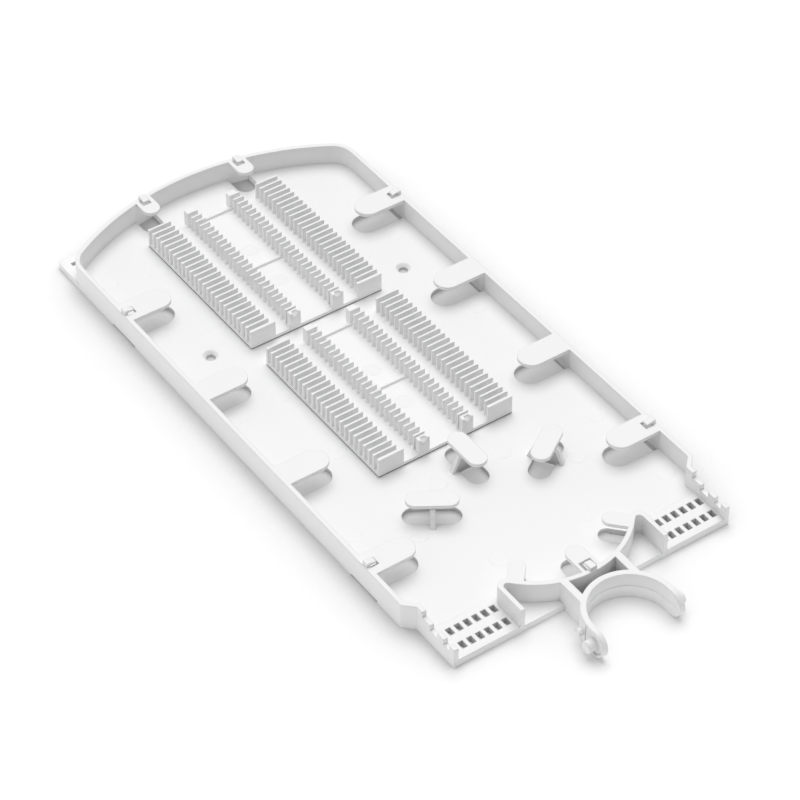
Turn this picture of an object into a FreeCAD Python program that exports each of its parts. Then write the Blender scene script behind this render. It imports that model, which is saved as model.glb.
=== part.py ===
"""Hinged splice tray with two splice holders, modelled in millimetres.

X runs across the tray, Y runs from the hinge to the arched end and Z runs up.
In the sketches Y starts at the front edge of the cable entries. The bodies are
then moved so that the part's origin lies under the middle of its outer box.
"""
import FreeCAD, Part
import math
import os

import Sketcher

SIZES = {
    # Outline of the tray from above
    "tray_width": 128.0,
    "entry_width": 120.0,
    "entry_length": 21.7,
    "flange_end": 258.6,
    "arch_crown": 266.7,
    "arch_radius": 112.4,
    "wall_corner_radius": 11.0,
    "flange_corner_radius": 2.0,
    # Wall and floor
    "wall_height": 11.2,
    "wall_thickness": 1.8,
    "floor_top": 2.5,
    "recess_depth": 0.7,
    "recess_front": 20.0,
    "recess_end": 239.0,
    # Cable entries with their tie holes
    "platform_top": 3.0,
    "platform_length": 17.0,
    "tie_width": 2.2,
    "tie_length": 3.3,
    "tie_first": 34.35,
    "tie_front": 4.95,
    "tie_pitch": 3.7,
    "tie_row_pitch": 7.3,
    "tie_count": 7,
    # Stepped top edge of the entry walls
    "step_low": 6.2,
    "step_high": 8.6,
    "post_end": 2.7,
    "tooth_start": 6.2,
    "tooth_end": 9.8,
    "step_start": 14.1,
    "step_end": 18.7,
    # Curved wall of the hinge side and the pockets beside it
    "bay_radius": 35.1,
    "bay_centre": 37.4,
    "pocket_wall_width": 64.0,
    "pocket_corner_radius": 3.0,
    "pocket_inner_radius": 1.5,
    "rib_gap": 20.2,
    "rib_thickness": 2.9,
    # Open hinge ring with its two arms
    "ring_inner_radius": 15.6,
    "ring_thickness": 2.2,
    "ring_centre": 20.4,
    "arm_end": 27.5,
    "ear_recess": 0.6,
    "ear_rim": 1.2,
    "ear_recess_end": 17.2,
    "pin_radius": 2.3,
    "pin_reach": 20.8,
    "pin_height": 5.2,
    "bump_radius": 1.3,
    "bump_reach": 19.2,
    "bump_place": 15.2,
    "bump_height": 5.6,
    # Tabs that keep the fibre down
    "tab_thickness": 1.4,
    "tab_width": 10.8,
    "tab_tip": 43.2,
    "tab_first": 47.93,
    "tab_pitch": 53.66,
    "tab_count": 4,
    "tab_side_gap": 0.1,
    "tab_wall_step": 0.3,
    "tab_tip_gap": 1.1,
    "far_tab_place": 21.9,
    "far_tab_width": 7.2,
    "far_tab_length": 9.5,
    "far_opening_gap": 0.8,
    "centre_tab_width": 7.6,
    "centre_tab_tip": 14.9,
    "centre_opening_gap": 1.9,
    "slant_tab_width": 6.2,
    "slant_tab_length": 9.8,
    "slant_tab_root": 25.0,
    "slant_opening_start": 0.45,
    "slant_tab_turn": 133.0,
    # Cover hooks over the slots in some tabs
    "slot_width": 3.7,
    "slot_length": 3.4,
    "centre_slot_width": 5.0,
    "centre_slot_length": 4.2,
    "hook_width": 2.7,
    "hook_reach": 2.7,
    "hook_back": 0.5,
    "hook_height": 1.6,
    "hook_gap": 0.6,
    "hook_tip": 0.5,
    "notch_width": 16.0,
    "notch_height": 0.8,
    # Storage spools
    "spool_circle_radius": 30.2,
    "spool_circle_centre": 45.0,
    "spool_turn": 57.0,
    "spool_length": 19.4,
    "spool_width": 7.7,
    "spool_side_gap": 0.4,
    "spool_end_gap": 1.1,
    "bridge_thickness": 2.0,
    "bridge_foot": 7.1,
    "bridge_leg": 1.3,
    "bridge_shoulder": 5.0,
    "bridge_bend": 2.0,
    "bridge_bevel": 0.6,
    # Holes in the floor
    "screw_place_x": 44.2,
    "screw_place_y": 178.4,
    "screw_hole_radius": 1.8,
    "screw_head_radius": 3.1,
    "screw_head_angle": 90.0,
    "flange_slot_width": 2.7,
    "flange_slot_length": 1.9,
    "flange_slot_x": 58.9,
    "flange_slot_y": 253.9,
    # Splice holders
    "holder_width": 59.6,
    "holder_front": 88.2,
    "holder_pitch": 84.2,
    "holder_lift": 0.3,
    "base_thickness": 1.4,
    "fin_top": 8.1,
    "fin_thickness": 0.8,
    "fin_pitch": 3.03,
    "fin_count": 25,
    "fin_inset": 0.6,
    "outer_fin_inside": 19.8,
    "fin_end_width": 1.3,
    "fin_end_length": 1.2,
    "end_wall_inside": 18.8,
    "end_wall_thickness": 1.2,
    "inner_fin_inside": 7.4,
    "inner_fin_outside": 12.1,
    "post_thickness": 2.2,
    "scoop_width": 3.3,
    "scoop_inset": 1.5,
    "scoop_taper": 0.7,
    "scoop_depth": 2.3,
    "lug_width": 3.7,
    "lug_overhang": 1.8,
    "lug_lift": 1.2,
    "cross_rib_width": 1.0,
    "cross_rib_height": 0.7,
    "foot_width": 50.0,
    "foot_length": 5.2,
    "peg_width": 3.0,
    "peg_length": 1.6,
    "peg_clearance": 0.15,
    "peg_inset": 7.0,
}


class Size:
    """A dimension that keeps its number together with its sheet formula."""

    def __init__(self, number, formula):
        self.number = number
        self.formula = formula

    def __add__(self, other):
        return Size(self.number + as_number(other), f"({self.formula} + {as_formula(other)})")

    def __radd__(self, other):
        return Size(other + self.number, f"({other} + {self.formula})")

    def __sub__(self, other):
        return Size(self.number - as_number(other), f"({self.formula} - {as_formula(other)})")

    def __rsub__(self, other):
        return Size(other - self.number, f"({other} - {self.formula})")

    def __mul__(self, other):
        return Size(self.number * as_number(other), f"({self.formula} * {as_formula(other)})")

    def __rmul__(self, other):
        return Size(other * self.number, f"({other} * {self.formula})")

    def __truediv__(self, other):
        return Size(self.number / as_number(other), f"({self.formula} / {as_formula(other)})")

    def __neg__(self):
        return Size(-self.number, f"(-{self.formula})")


class Bend:
    """Between two corners of an outline: they are joined by the short arc about this centre."""

    def __init__(self, x, y):
        self.x = x
        self.y = y


def as_number(value):
    return value.number if isinstance(value, Size) else float(value)


def as_formula(value):
    return value.formula if isinstance(value, Size) else str(value)


def root(value):
    return Size(math.sqrt(value.number), f"sqrt({value.formula})")


def leg(hypotenuse, other):
    """The other short side of a right triangle."""
    return root(hypotenuse * hypotenuse - other * other)


def fill_sheet(doc):
    """Write the driving dimensions into the sheet and hand back the bound sizes."""
    sheet = doc.addObject("Spreadsheet::Sheet", "sizes")
    bound = {}
    for row, (alias, value) in enumerate(SIZES.items(), start=1):
        sheet.set(f"A{row}", alias)
        sheet.set(f"B{row}", str(value))
        sheet.setAlias(f"B{row}", alias)
        bound[alias] = Size(value, f"sizes.{alias}")
    doc.recompute()
    return bound


def bind(thing, path, value):
    """Tie a property of an object to its sheet formula."""
    if isinstance(value, Size):
        thing.setExpression(path, value.formula)


def new_sketch(body, name, plane, offset=(0, 0, 0), turn=None):
    """A sketch on one of the body's own planes, moved by offset in the sketch's own axes."""
    sketch = body.newObject("Sketcher::SketchObject", name)
    support = next(item for item in body.Origin.OriginFeatures if item.Role == plane)
    sketch.AttachmentSupport = [(support, "")]
    sketch.MapMode = "FlatFace"
    spot = FreeCAD.Vector(*[as_number(value) for value in offset])
    angle = 0.0 if turn is None else as_number(turn)
    rotation = FreeCAD.Rotation(FreeCAD.Vector(0, 0, 1), angle)
    sketch.AttachmentOffset = FreeCAD.Placement(spot, rotation)
    for axis, value in zip("xyz", offset):
        bind(sketch, f"AttachmentOffset.Base.{axis}", value)
    if turn is not None:
        bind(sketch, "AttachmentOffset.Rotation.Angle", turn)
    return sketch


def tie(geometry, position, axis, value):
    """The constraint that holds one coordinate of a sketch point, with its sheet size."""
    if as_number(value) == 0:
        middle = -2 if axis == "X" else -1
        return Sketcher.Constraint("PointOnObject", geometry, position, middle), None
    kind = "DistanceX" if axis == "X" else "DistanceY"
    return Sketcher.Constraint(kind, -1, 1, geometry, position, as_number(value)), value


def hold(sketch, ties):
    """Add constraints in one go and bind each to its sheet size."""
    first = sketch.ConstraintCount
    sketch.addConstraint([constraint for constraint, _ in ties])
    for index, (_, value) in enumerate(ties, start=first):
        bind(sketch, f"Constraints[{index}]", value)


def add_loop(sketch, path):
    """Add a closed loop of lines and arcs whose corners are all tied to the sheet."""
    flat = [FreeCAD.Vector(as_number(item.x), as_number(item.y), 0) if isinstance(item, Bend)
            else FreeCAD.Vector(as_number(item[0]), as_number(item[1]), 0) for item in path]
    pieces = []
    for index, item in enumerate(path):
        if isinstance(item, Bend):
            continue
        after = (index + 1) % len(path)
        if isinstance(path[after], Bend):
            end = flat[(index + 2) % len(path)]
            pieces.append((item, path[after], *short_arc(flat[index], end, flat[after])))
        else:
            pieces.append((item, None, Part.LineSegment(flat[index], flat[after]), 1, 2))
    first = sketch.GeometryCount
    sketch.addGeometry([piece[2] for piece in pieces], False)
    ties = []
    for order, (corner, bend, _, start, end) in enumerate(pieces):
        following = (order + 1) % len(pieces)
        joint = Sketcher.Constraint("Coincident", first + order, end,
                                    first + following, pieces[following][3])
        ties.append((joint, None))
        ties.append(tie(first + order, start, "X", corner[0]))
        ties.append(tie(first + order, start, "Y", corner[1]))
        if bend is not None:
            ties.append(tie_bend(first + order, corner, bend, pieces[following][0]))
    hold(sketch, ties)


def tie_bend(geometry, start, bend, end):
    """Hold the arc's centre along the line that lies midway between its two ends."""
    across = abs(as_number(end[0]) - as_number(start[0]))
    along = abs(as_number(end[1]) - as_number(start[1]))
    if along > across:
        return tie(geometry, 3, "X", bend.x)
    return tie(geometry, 3, "Y", bend.y)


def short_arc(start, end, centre):
    """The short arc from start to end, with the sketch positions of those two points."""
    upward = FreeCAD.Vector(0, 0, 1)
    circle = Part.Circle(centre, upward, (start - centre).Length)
    first = math.atan2(start.y - centre.y, start.x - centre.x)
    last = math.atan2(end.y - centre.y, end.x - centre.x)
    turn = (last - first) % (2 * math.pi)
    if turn <= math.pi:
        return Part.ArcOfCircle(circle, first, first + turn), 1, 2
    back = 2 * math.pi - turn
    return Part.ArcOfCircle(circle, last, last + back), 2, 1


def add_circle(sketch, x, y, radius):
    """Add a circle with a bound centre and radius."""
    centre = FreeCAD.Vector(as_number(x), as_number(y), 0)
    circle = Part.Circle(centre, FreeCAD.Vector(0, 0, 1), as_number(radius))
    index = sketch.addGeometry(circle, False)
    size = Sketcher.Constraint("Radius", index, as_number(radius))
    hold(sketch, [tie(index, 3, "X", x), tie(index, 3, "Y", y), (size, radius)])


def box_path(left, right, front, back):
    """A rectangle between two X and two Y values."""
    return [(left, front), (right, front), (right, back), (left, back)]


def add_pair(sketch, path):
    """Add a loop of straight lines and its mirror image on the other side of the Y axis."""
    add_loop(sketch, path)
    add_loop(sketch, [(-x, y) for x, y in path])


def pad(body, sketch, name, length, middle=False, reverse=False):
    """Material added to a sketch over a length, to one side or evenly to both."""
    feature = body.newObject("PartDesign::Pad", name)
    feature.Profile = sketch
    feature.SideType = "Symmetric" if middle else "One side"
    feature.Reversed = reverse
    feature.Length = as_number(length)
    bind(feature, "Length", length)
    sketch.Visibility = False
    return feature


def pocket(body, sketch, name, depth=None, reverse=False):
    """Material cut away from a sketch, over a depth or all the way through."""
    feature = body.newObject("PartDesign::Pocket", name)
    feature.Profile = sketch
    feature.Reversed = reverse
    if depth is None:
        feature.Type = "ThroughAll"
    else:
        feature.Length = as_number(depth)
        bind(feature, "Length", depth)
    sketch.Visibility = False
    return feature


def row(body, name, originals, axis, count, pitch):
    """Repeat features along one of the body's axes."""
    pattern = body.newObject("PartDesign::LinearPattern", name)
    pattern.Originals = originals
    axes = {item.Role: item for item in body.Origin.OriginFeatures}
    pattern.Direction = (axes[axis], [""])
    pattern.Mode = "Spacing"
    pattern.Occurrences = int(as_number(count))
    bind(pattern, "Occurrences", count)
    pattern.Offset = as_number(pitch)
    bind(pattern, "Offset", pitch)
    body.Tip = pattern
    return pattern


def mirror_body(body, name):
    """Add the mirror image of the whole body across its middle plane."""
    body.Document.recompute()
    mirror = body.newObject("PartDesign::Mirrored", name)
    mirror.TransformMode = "Whole shape"
    plane = next(item for item in body.Origin.OriginFeatures if item.Role == "YZ_Plane")
    mirror.MirrorPlane = (plane, [""])
    body.Tip = mirror
    return mirror


def octagon(x, y, radius):
    """Eight flats round a circle of this radius."""
    near = radius * math.tan(math.pi / 8)
    return [(x + near, y - radius), (x + radius, y - near), (x + radius, y + near),
            (x + near, y + radius), (x - near, y + radius), (x - radius, y + near),
            (x - radius, y - near), (x - near, y - radius)]


def tab_path(base, tip, width):
    """A tab along the sketch's X axis with a half-round tip, smaller X first or last."""
    half = width / 2
    forward = as_number(tip) > as_number(base)
    bend_x = tip - half if forward else tip + half
    return [(base, -half), (bend_x, -half), Bend(bend_x, 0), (tip, 0), Bend(bend_x, 0),
            (bend_x, half), (base, half)]


class Tray:
    """The tray moulding. Its right half is modelled and then mirrored."""

    def __init__(self, doc, size):
        self.size = size
        self.body = doc.addObject("PartDesign::Body", "splice_tray")
        self.body.Label = "splice_tray"
        self.side = size["tray_width"] / 2
        self.entry = size["entry_width"] / 2
        self.arch_centre = size["arch_crown"] - size["arch_radius"]
        self.inner_side = self.side - size["wall_thickness"]
        self.inner_arch = size["arch_radius"] - size["wall_thickness"]
        self.tab_bottom = size["wall_height"] - size["tab_thickness"]
        self.bay_outer = size["bay_radius"] + size["wall_thickness"]

    def wall_face(self, inset):
        """One face of the side wall, from the entry to the crown of the arch."""
        size = self.size
        jog = inset * math.tan(math.pi / 8)
        shoulder = size["entry_length"] + self.side - self.entry
        corner_x = self.side - size["wall_corner_radius"]
        reach = size["arch_radius"] - size["wall_corner_radius"]
        corner_rise = leg(reach, corner_x)
        corner_y = self.arch_centre + corner_rise
        scale = (size["arch_radius"] - inset) / reach
        return [
            (self.entry - inset, 0),
            (self.entry - inset, size["entry_length"] + jog),
            (self.side - inset, shoulder + jog),
            (self.side - inset, corner_y),
            Bend(corner_x, corner_y),
            (corner_x * scale, self.arch_centre + corner_rise * scale),
            Bend(0, self.arch_centre),
            (0, size["arch_crown"] - inset),
        ]

    def bay_y(self, radius, x):
        """Where a circle about the bay's centre meets a given X on the hinge side."""
        return self.size["bay_centre"] - leg(radius, x)

    def floor(self):
        """Floor slab with its flange corners, following the curved wall over the open bay."""
        size = self.size
        rib = size["rib_gap"] / 2
        shoulder = size["entry_length"] + self.side - self.entry
        corner = size["flange_corner_radius"]
        end = size["flange_end"]
        meet = leg(size["arch_radius"], end - self.arch_centre)
        sketch = new_sketch(self.body, "floor_outline", "XY_Plane")
        add_loop(sketch, [
            (0, size["bay_centre"] - self.bay_outer),
            Bend(0, size["bay_centre"]),
            (rib, self.bay_y(self.bay_outer, rib)),
            (rib, 0),
            (self.entry, 0),
            (self.entry, size["entry_length"]),
            (self.side, shoulder),
            (self.side, end - corner),
            Bend(self.side - corner, end - corner),
            (self.side - corner, end),
            (meet, end),
            Bend(0, self.arch_centre),
            (0, size["arch_crown"]),
        ])
        pad(self.body, sketch, "floor", size["floor_top"])

    def underside(self):
        """Shallow recess under the floor that leaves a rim under the walls."""
        size = self.size
        front = self.wall_face(size["wall_thickness"])[1:3]
        sketch = new_sketch(self.body, "recess_outline", "XY_Plane")
        add_loop(sketch, [
            (0, size["recess_front"]),
            (self.entry - size["wall_thickness"], size["recess_front"]),
            *front,
            (self.inner_side, size["recess_end"]),
            (0, size["recess_end"]),
        ])
        pocket(self.body, sketch, "underside_recess", size["recess_depth"], reverse=True)

    def wall(self):
        """Side wall along the entry, the side and the arch, with a stepped top at the entry."""
        size = self.size
        sketch = new_sketch(self.body, "wall_outline", "XY_Plane")
        inner = self.wall_face(size["wall_thickness"])
        add_loop(sketch, self.wall_face(0) + inner[::-1])
        pad(self.body, sketch, "side_wall", size["wall_height"])
        over = size["wall_height"] + size["wall_thickness"]
        low = size["step_low"]
        high = size["step_high"]
        steps = new_sketch(self.body, "entry_steps", "YZ_Plane")
        add_loop(steps, [
            (-size["wall_thickness"], high), (size["post_end"], high), (size["post_end"], low),
            (size["tooth_start"], low), (size["tooth_start"], high),
            (size["tooth_end"], high), (size["tooth_end"], low),
            (size["step_start"], low), (size["step_start"], high),
            (size["step_end"], high), (size["step_end"], over),
            (-size["wall_thickness"], over),
        ])
        pocket(self.body, steps, "stepped_entry", reverse=True)

    def entries(self):
        """Raised cable entry with two rows of tie holes."""
        size = self.size
        outer = self.entry - size["wall_thickness"] / 2
        inner = size["pocket_wall_width"] / 2 - size["wall_thickness"] / 2
        sketch = new_sketch(self.body, "platform_outline", "XY_Plane", (0, 0, size["recess_depth"]))
        add_loop(sketch, box_path(inner, outer, 0, size["platform_length"]))
        pad(self.body, sketch, "entry_platform", size["platform_top"] - size["recess_depth"])
        hole = new_sketch(self.body, "tie_hole_outline", "XY_Plane", (0, 0, size["platform_top"]))
        half = size["tie_width"] / 2
        depth = size["tie_length"] / 2
        for middle in (size["tie_front"], size["tie_front"] + size["tie_row_pitch"]):
            add_loop(hole, box_path(size["tie_first"] - half, size["tie_first"] + half,
                                    middle - depth, middle + depth))
        cut = pocket(self.body, hole, "tie_hole_pair")
        row(self.body, "tie_holes", [cut], "X_Axis", size["tie_count"], size["tie_pitch"])

    def hinge_walls(self):
        """Curved bay wall that runs into the pocket's side wall, with a rib to the hinge ring."""
        size = self.size
        thick = size["wall_thickness"]
        centre = size["bay_centre"]
        out_x = size["pocket_wall_width"] / 2
        in_x = out_x - thick
        out_r = size["pocket_corner_radius"]
        in_r = size["pocket_inner_radius"]
        out_cx = out_x - out_r
        in_cx = in_x - in_r
        out_drop = leg(size["bay_radius"] + out_r, out_cx)
        in_drop = leg(self.bay_outer + in_r, in_cx)
        out_scale = size["bay_radius"] / (size["bay_radius"] + out_r)
        in_scale = self.bay_outer / (self.bay_outer + in_r)
        sketch = new_sketch(self.body, "bay_wall_outline", "XY_Plane")
        add_loop(sketch, [
            (0, centre - self.bay_outer),
            Bend(0, centre),
            (in_cx * in_scale, centre - in_drop * in_scale),
            Bend(in_cx, centre - in_drop),
            (in_x, centre - in_drop),
            (in_x, 0),
            (out_x, 0),
            (out_x, centre - out_drop),
            Bend(out_cx, centre - out_drop),
            (out_cx * out_scale, centre - out_drop * out_scale),
            Bend(0, centre),
            (0, centre - size["bay_radius"]),
        ])
        pad(self.body, sketch, "bay_wall", size["wall_height"])
        near = size["rib_gap"] / 2
        far = near + size["rib_thickness"]
        middle = size["bay_radius"] + thick / 2
        ring = size["ring_inner_radius"] + size["ring_thickness"] / 2
        ring_y = -size["ring_centre"]
        rib = new_sketch(self.body, "rib_outline", "XY_Plane")
        add_loop(rib, [
            (near, ring_y + leg(ring, near)),
            Bend(0, ring_y),
            (far, ring_y + leg(ring, far)),
            (far, self.bay_y(middle, far)),
            Bend(0, centre),
            (near, self.bay_y(middle, near)),
        ])
        pad(self.body, rib, "ring_rib", size["wall_height"])

    def hinge_ring(self):
        """Open ring whose arm ends in a rounded ear with a recess, a bump and the hinge pin."""
        size = self.size
        inner = size["ring_inner_radius"]
        outer = inner + size["ring_thickness"]
        ring_y = -size["ring_centre"]
        sketch = new_sketch(self.body, "ring_outline", "XY_Plane")
        add_loop(sketch, [
            (0, ring_y + outer), Bend(0, ring_y), (outer, ring_y),
            (outer, -size["arm_end"]), (inner, -size["arm_end"]),
            (inner, ring_y), Bend(0, ring_y), (0, ring_y + inner),
        ])
        pad(self.body, sketch, "hinge_ring", size["wall_height"])
        half = size["wall_height"] / 2
        ear_y = half - size["arm_end"]
        spare = -size["arm_end"] - size["wall_thickness"]
        over = size["wall_height"] + size["wall_thickness"]
        ear = new_sketch(self.body, "ear_rounding", "YZ_Plane")
        add_loop(ear, [
            (ear_y, size["wall_height"]), Bend(ear_y, half), (-size["arm_end"], half),
            Bend(ear_y, half), (ear_y, 0), (ear_y, -size["wall_thickness"]),
            (spare, -size["wall_thickness"]), (spare, over), (ear_y, over),
        ])
        pocket(self.body, ear, "rounded_ear", reverse=True)
        rim = half - size["ear_rim"]
        recess_end = -size["ear_recess_end"]
        near = rim * math.tan(math.pi / 8)
        recess = new_sketch(self.body, "ear_recess_outline", "YZ_Plane", (0, 0, outer))
        add_loop(recess, [
            (ear_y - near, half + rim), (ear_y - rim, half + near), (ear_y - rim, half - near),
            (ear_y - near, half - rim), (recess_end, half - rim), (recess_end, half + rim),
        ])
        pocket(self.body, recess, "ear_recess", size["ear_recess"])
        pin = new_sketch(self.body, "pin_outline", "YZ_Plane", (0, 0, inner))
        add_circle(pin, ear_y, size["pin_height"], size["pin_radius"])
        pad(self.body, pin, "hinge_pin", size["pin_reach"] - inner)
        bump = new_sketch(self.body, "bump_outline", "YZ_Plane", (0, 0, inner))
        add_loop(bump, octagon(-size["bump_place"], size["bump_height"], size["bump_radius"]))
        pad(self.body, bump, "ear_bump", size["bump_reach"] - inner)

    def side_tabs(self):
        """Tabs over the floor from the side wall, each above its opening in the floor.

        The core that shapes a tab from below also leaves a shallow step in the wall.
        """
        size = self.size
        wide = size["tab_width"] + size["tab_side_gap"] * 2
        hole = new_sketch(self.body, "side_opening_outline", "XY_Plane",
                          (0, size["tab_first"], self.tab_bottom))
        add_loop(hole, tab_path(self.inner_side + size["tab_wall_step"],
                                size["tab_tip"] - size["tab_tip_gap"], wide))
        cut = pocket(self.body, hole, "side_opening")
        sketch = new_sketch(self.body, "side_tab_outline", "XY_Plane",
                            (0, size["tab_first"], self.tab_bottom))
        middle = self.side - size["wall_thickness"] / 2
        add_loop(sketch, tab_path(middle, size["tab_tip"], size["tab_width"]))
        tab = pad(self.body, sketch, "side_tab", size["tab_thickness"])
        row(self.body, "side_tabs", [cut, tab], "Y_Axis", size["tab_count"], size["tab_pitch"])

    def far_tab(self):
        """Tab from the arch towards the hinge, above its opening."""
        size = self.size
        place = size["far_tab_place"]
        half = size["far_tab_width"] / 2
        wide = half + size["far_opening_gap"]
        wall = self.arch_centre + leg(self.inner_arch, place)
        tip = wall - size["far_tab_length"]
        hole = new_sketch(self.body, "far_opening_outline", "XY_Plane", (0, 0, size["floor_top"]))
        left = place - wide
        right = place + wide
        end = tip - size["tab_tip_gap"]
        bend_y = end + wide
        add_loop(hole, [
            (left, bend_y), Bend(place, bend_y), (place, end), Bend(place, bend_y),
            (right, bend_y), (right, self.arch_centre + leg(self.inner_arch, right)),
            Bend(0, self.arch_centre), (left, self.arch_centre + leg(self.inner_arch, left)),
        ])
        pocket(self.body, hole, "far_opening")
        middle = self.inner_arch + size["wall_thickness"] / 2
        sketch = new_sketch(self.body, "far_tab_outline", "XY_Plane", (0, 0, self.tab_bottom))
        left = place - half
        right = place + half
        bend_y = tip + half
        add_loop(sketch, [
            (left, bend_y), Bend(place, bend_y), (place, tip), Bend(place, bend_y),
            (right, bend_y), (right, self.arch_centre + leg(middle, right)),
            Bend(0, self.arch_centre), (left, self.arch_centre + leg(middle, left)),
        ])
        slot = size["slot_width"] / 2
        add_loop(sketch, box_path(place - slot, place + slot, wall - size["slot_length"], wall))
        pad(self.body, sketch, "far_tab", size["tab_thickness"])

    def hinge_tabs(self):
        """Centre tab and slanting tab from the curved bay wall, with their openings."""
        size = self.size
        gap = size["centre_opening_gap"]
        half = size["centre_tab_width"] / 2
        wide = half + size["tab_side_gap"]
        tip = size["centre_tab_tip"]
        centre = size["bay_centre"]
        hole = new_sketch(self.body, "centre_opening_outline", "XY_Plane", (0, 0, size["floor_top"]))
        bend_y = tip + gap - wide
        add_loop(hole, [
            (-wide, bend_y), Bend(0, bend_y), (0, tip + gap), Bend(0, bend_y), (wide, bend_y),
            (wide, self.bay_y(size["bay_radius"], wide)), Bend(0, centre),
            (-wide, self.bay_y(size["bay_radius"], wide)),
        ])
        pocket(self.body, hole, "centre_opening")
        middle = size["bay_radius"] + size["wall_thickness"] / 2
        sketch = new_sketch(self.body, "centre_tab_outline", "XY_Plane", (0, 0, self.tab_bottom))
        bend_y = tip - half
        add_loop(sketch, [
            (-half, bend_y), Bend(0, bend_y), (0, tip), Bend(0, bend_y), (half, bend_y),
            (half, self.bay_y(middle, half)), Bend(0, centre),
            (-half, self.bay_y(middle, half)),
        ])
        slot = size["centre_slot_width"] / 2
        wall = centre - size["bay_radius"]
        add_loop(sketch, box_path(-slot, slot, wall, wall + size["centre_slot_length"]))
        pad(self.body, sketch, "centre_tab", size["tab_thickness"])
        root_x = size["slant_tab_root"]
        root_y = self.bay_y(size["bay_radius"], root_x)
        turn = size["slant_tab_turn"]
        wide = size["slant_tab_width"] + size["tab_side_gap"] * 2
        length = size["slant_tab_length"]
        hole = new_sketch(self.body, "slant_opening_outline", "XY_Plane",
                          (root_x, root_y, size["floor_top"]), turn)
        add_loop(hole, tab_path(size["slant_opening_start"], length + size["tab_tip_gap"], wide))
        pocket(self.body, hole, "slant_opening")
        sketch = new_sketch(self.body, "slant_tab_outline", "XY_Plane",
                            (root_x, root_y, self.tab_bottom), turn)
        add_loop(sketch, tab_path(-size["wall_thickness"] / 2, length, size["slant_tab_width"]))
        pad(self.body, sketch, "slant_tab", size["tab_thickness"])

    def hook_profile(self, face, inward):
        """A cover hook on top of a wall: its nose points inward over the slot in the tab."""
        size = self.size
        top = size["wall_height"] + size["hook_height"]
        nose = face + inward * size["hook_reach"]
        back = face - inward * (size["wall_thickness"] - size["hook_back"])
        under = size["wall_height"] + size["hook_gap"]
        return [
            (back, size["wall_height"]), (face, size["wall_height"]), (face, under),
            (nose, under), (nose, under + size["hook_tip"]), (face, top), (back, top),
        ]

    def latches(self):
        """Hooks for the cover over the slots in the tabs, and the slots of the outer side tabs."""
        size = self.size
        half = size["slot_width"] / 2
        span = size["tab_pitch"] * (size["tab_count"] - 1)
        slot = new_sketch(self.body, "side_slot_outline", "XY_Plane",
                          (0, size["tab_first"], size["wall_height"]))
        add_loop(slot, box_path(self.inner_side - size["slot_length"], self.inner_side,
                                -half, half))
        cut = pocket(self.body, slot, "side_slot", size["tab_thickness"])
        hook = new_sketch(self.body, "side_hook_profile", "XZ_Plane", (0, 0, -size["tab_first"]))
        add_loop(hook, self.hook_profile(self.inner_side, -1))
        nose = pad(self.body, hook, "side_hook", size["hook_width"], middle=True)
        row(self.body, "side_latches", [cut, nose], "Y_Axis", 2, span)
        place = size["far_tab_place"]
        wall = self.arch_centre + leg(self.inner_arch, place)
        hook = new_sketch(self.body, "far_hook_profile", "YZ_Plane", (0, 0, place))
        add_loop(hook, self.hook_profile(wall, -1))
        pad(self.body, hook, "far_hook", size["hook_width"], middle=True)
        hook = new_sketch(self.body, "centre_hook_profile", "YZ_Plane")
        add_loop(hook, self.hook_profile(size["bay_centre"] - size["bay_radius"], 1))
        pad(self.body, hook, "centre_hook", size["hook_width"], middle=True)

    def stacking_notches(self):
        """Shallow notches in the bottom edge of the side wall, under the latched tabs."""
        size = self.size
        half = size["notch_width"] / 2
        span = size["tab_pitch"] * (size["tab_count"] - 1)
        sketch = new_sketch(self.body, "notch_outline", "YZ_Plane",
                            (size["tab_first"], 0, self.inner_side))
        add_loop(sketch, box_path(-half, half, 0, size["notch_height"]))
        cut = pocket(self.body, sketch, "stacking_notch", reverse=True)
        row(self.body, "stacking_notches", [cut], "Y_Axis", 2, span)

    def spools(self):
        """Storage spools: a plate on a thin bridge over an opening, repeated round a circle."""
        size = self.size
        centre = size["spool_circle_centre"]
        radius = size["spool_circle_radius"]
        long = size["spool_length"] / 2
        half = size["spool_width"] / 2

        def stadium(sketch, reach, width):
            straight = reach - width
            add_loop(sketch, [
                (width, radius - straight), (width, radius + straight),
                Bend(0, radius + straight), (0, radius + reach), Bend(0, radius + straight),
                (-width, radius + straight), (-width, radius - straight),
                Bend(0, radius - straight), (0, radius - reach), Bend(0, radius - straight),
            ])

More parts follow.
